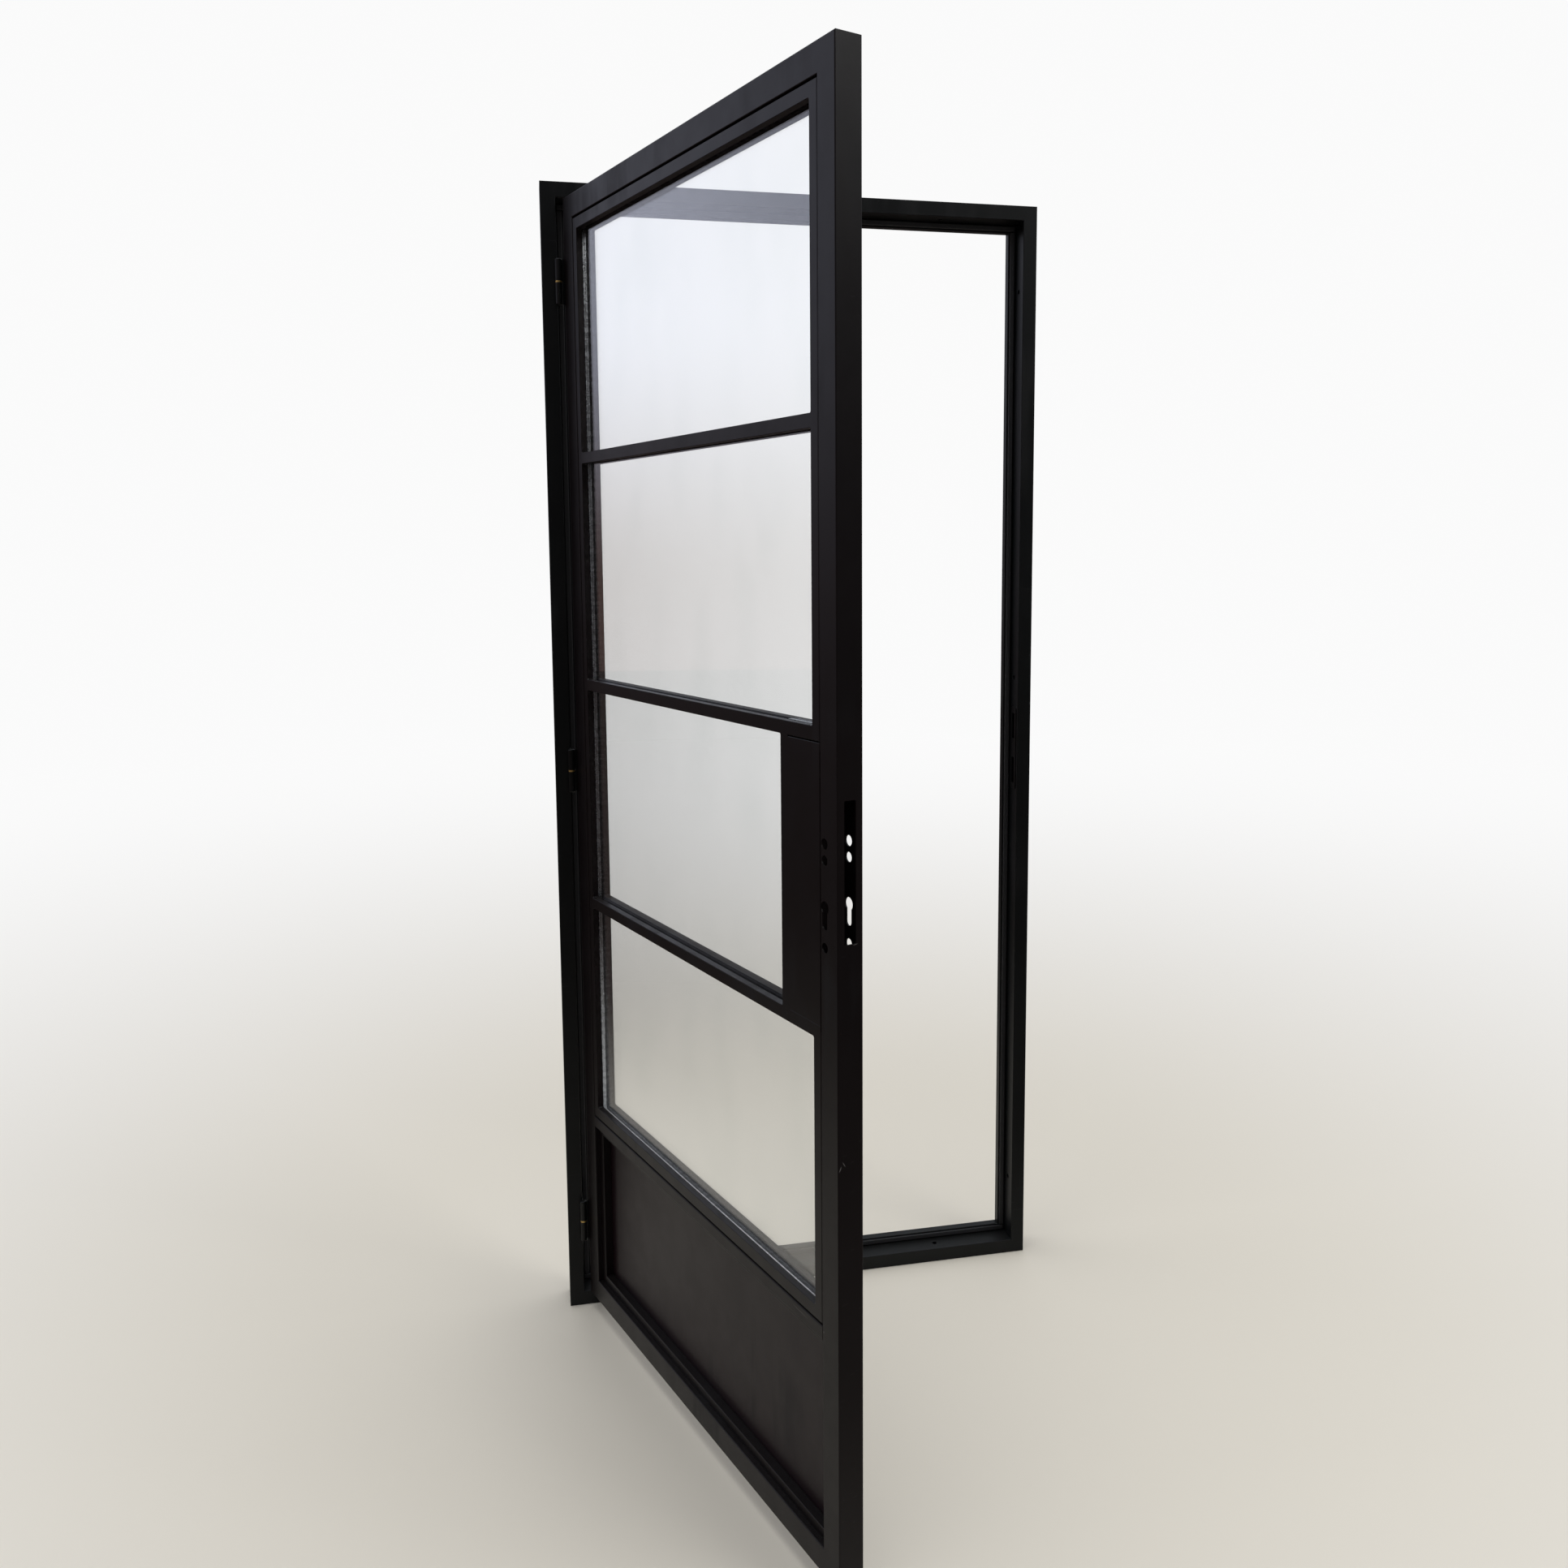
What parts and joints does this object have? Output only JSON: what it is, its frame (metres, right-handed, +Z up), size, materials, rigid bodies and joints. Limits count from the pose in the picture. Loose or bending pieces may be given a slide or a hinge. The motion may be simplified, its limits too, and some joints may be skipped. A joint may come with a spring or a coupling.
{
  "type": "glazed steel door with frame",
  "caption": "Black steel glass door leaf standing open in its rebated frame, with glazing bars, a kick panel, lift-off hinges and an empty lock preparation.",
  "frame": {"origin": "centre of the sill's underside, at mid width and mid depth of the frame", "axes": "+X from the hinge jamb to the lock jamb, +Y from the pull side to the push side, +Z up"},
  "size_m": [0.928, 0.8791, 2.1],
  "materials": {
    "frame_coat": "satin powder coat",
    "strike_coat": "satin powder coat",
    "leaf_coat": "satin powder coat",
    "glazing_coat": "satin powder coat",
    "kick_coat": "satin powder coat",
    "bead_coat": "satin powder coat",
    "hinge_coat": "satin powder coat",
    "pin_steel": "turned",
    "washer_brass": "turned",
    "seal_rubber": "matte",
    "clear_glass": "polished",
    "spacer_metal": "satin, perforated",
    "unit_sealant": "matte",
    "tape_foam": "matte",
    "block_plastic": "matte"
  },
  "bodies": {
    "frame": {"hinge_jamb": "frame_coat", "lock_jamb": "frame_coat", "head": "frame_coat", "sill": "frame_coat", "strike_plate": "strike_coat", "top_hinge_pin": "pin_steel", "middle_hinge_pin": "pin_steel", "bottom_hinge_pin": "pin_steel", "top_hinge_washer": "washer_brass", "middle_hinge_washer": "washer_brass", "bottom_hinge_washer": "washer_brass", "hinge_seal": "seal_rubber", "lock_seal": "seal_rubber", "head_seal": "seal_rubber", "sill_seal": "seal_rubber", "top_hinge_frame_knuckle": "hinge_coat", "middle_hinge_frame_knuckle": "hinge_coat", "bottom_hinge_frame_knuckle": "hinge_coat"},
    "leaf": {"hinge_stile": "leaf_coat", "lock_stile": "leaf_coat", "top_rail": "leaf_coat", "bottom_rail": "leaf_coat", "mid_rail": "leaf_coat", "glazing_frame_pull": "glazing_coat", "glazing_frame_push": "glazing_coat", "lock_cover_pull": "glazing_coat", "lock_cover_push": "glazing_coat", "kick_panel": "kick_coat", "kick_bead_pull_top": "bead_coat", "kick_bead_pull_bottom": "bead_coat", "kick_bead_pull_hinge": "bead_coat", "kick_bead_pull_lock": "bead_coat", "kick_bead_push_top": "bead_coat", "kick_bead_push_bottom": "bead_coat", "kick_bead_push_hinge": "bead_coat", "kick_bead_push_lock": "bead_coat", "top_hinge_leaf_knuckle": "hinge_coat", "middle_hinge_leaf_knuckle": "hinge_coat", "bottom_hinge_leaf_knuckle": "hinge_coat", "glass_pane_pull": "clear_glass", "glass_pane_push": "clear_glass", "glass_spacer": "spacer_metal", "edge_sealant": "unit_sealant", "glazing_tape_pull": "tape_foam", "glazing_tape_push": "tape_foam", "setting_blocks": "block_plastic"}
  },
  "joints": [
    {"name": "leaf_swing", "type": "hinge", "parent": "frame", "child": "leaf", "pos_m": [-0.435, -0.04, 0], "axis": [0, 0, -1], "range_deg": [-69.5, 100.5]}
  ]
}
